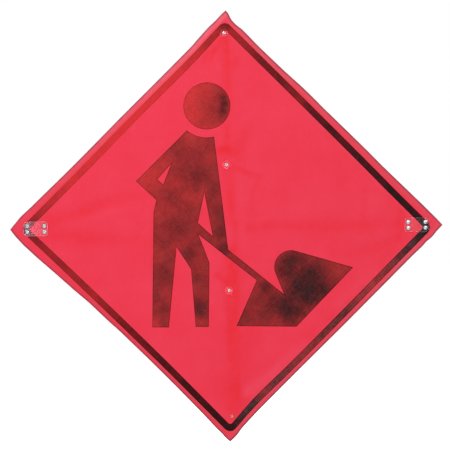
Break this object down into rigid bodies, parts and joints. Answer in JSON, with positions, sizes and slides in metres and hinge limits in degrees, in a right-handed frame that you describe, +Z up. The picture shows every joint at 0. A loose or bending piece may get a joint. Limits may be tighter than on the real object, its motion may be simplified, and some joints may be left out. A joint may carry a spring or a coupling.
{
  "type": "roll-up traffic sign",
  "caption": "Roll-up traffic sign: a square fabric face hung by a corner and riveted to an upright rib, with a cross rib that swings into clear corner pockets.",
  "frame": {"origin": "centre of the vertical rib's bottom end face, where a sign stand grips the sign", "axes": "+Z up along the vertical rib, the printed face looks towards -Y, +X to the right of someone reading it"},
  "size_m": [1.2979, 0.0351, 1.2908],
  "materials": {
    "face_fabric": "coated, semi-matt",
    "black_ink": "thin screen print",
    "fibreglass": "satin",
    "clear_plastic": "clear, glossy",
    "rivet_aluminium": "satin",
    "rivet_brass": "satin",
    "mandrel_steel": "dull",
    "zinc_steel": "zinc plated",
    "white_nylon": "matt"
  },
  "bodies": {
    "sign": {"sign_fabric": "face_fabric", "border_print": "black_ink", "worker_head_print": "black_ink", "worker_body_print": "black_ink", "vertical_rib": "fibreglass", "pivot_bolt": "zinc_steel", "rib_spacer": "white_nylon", "pivot_washer": "zinc_steel", "pivot_lock_nut": "zinc_steel", "rib_rivet_top": "rivet_aluminium", "rib_rivet_top_mandrel": "mandrel_steel", "clear_washer_top": "clear_plastic", "backing_washer_top": "rivet_aluminium", "rib_rivet_upper": "rivet_aluminium", "rib_rivet_upper_mandrel": "mandrel_steel", "clear_washer_upper": "clear_plastic", "backing_washer_upper": "rivet_aluminium", "rib_rivet_lower": "rivet_aluminium", "rib_rivet_lower_mandrel": "mandrel_steel", "clear_washer_lower": "clear_plastic", "backing_washer_lower": "rivet_aluminium", "rib_rivet_bottom": "rivet_brass", "rib_rivet_bottom_mandrel": "mandrel_steel", "backing_washer_bottom": "rivet_aluminium", "corner_plate_left": "clear_plastic", "rib_pocket_left": "clear_plastic", "corner_rivet_left_inner_lower": "rivet_aluminium", "corner_rivet_left_inner_lower_mandrel": "mandrel_steel", "corner_rivet_left_inner_upper": "rivet_aluminium", "corner_rivet_left_inner_upper_mandrel": "mandrel_steel", "corner_rivet_left_outer_lower": "rivet_aluminium", "corner_rivet_left_outer_lower_mandrel": "mandrel_steel", "corner_rivet_left_outer_upper": "rivet_aluminium", "corner_rivet_left_outer_upper_mandrel": "mandrel_steel", "corner_plate_right": "clear_plastic", "rib_pocket_right": "clear_plastic", "corner_rivet_right_inner_lower": "rivet_aluminium", "corner_rivet_right_inner_lower_mandrel": "mandrel_steel", "corner_rivet_right_inner_upper": "rivet_aluminium", "corner_rivet_right_inner_upper_mandrel": "mandrel_steel", "corner_rivet_right_outer_lower": "rivet_aluminium", "corner_rivet_right_outer_lower_mandrel": "mandrel_steel", "corner_rivet_right_outer_upper": "rivet_aluminium", "corner_rivet_right_outer_upper_mandrel": "mandrel_steel"},
    "cross_rib": {"cross_rib": "fibreglass"}
  },
  "joints": [
    {"name": "cross_rib_swing", "type": "hinge", "parent": "sign", "child": "cross_rib", "pos_m": [0, 0.01174, 0.60001], "axis": [0, 1, 0], "range_deg": [0, 90]}
  ]
}
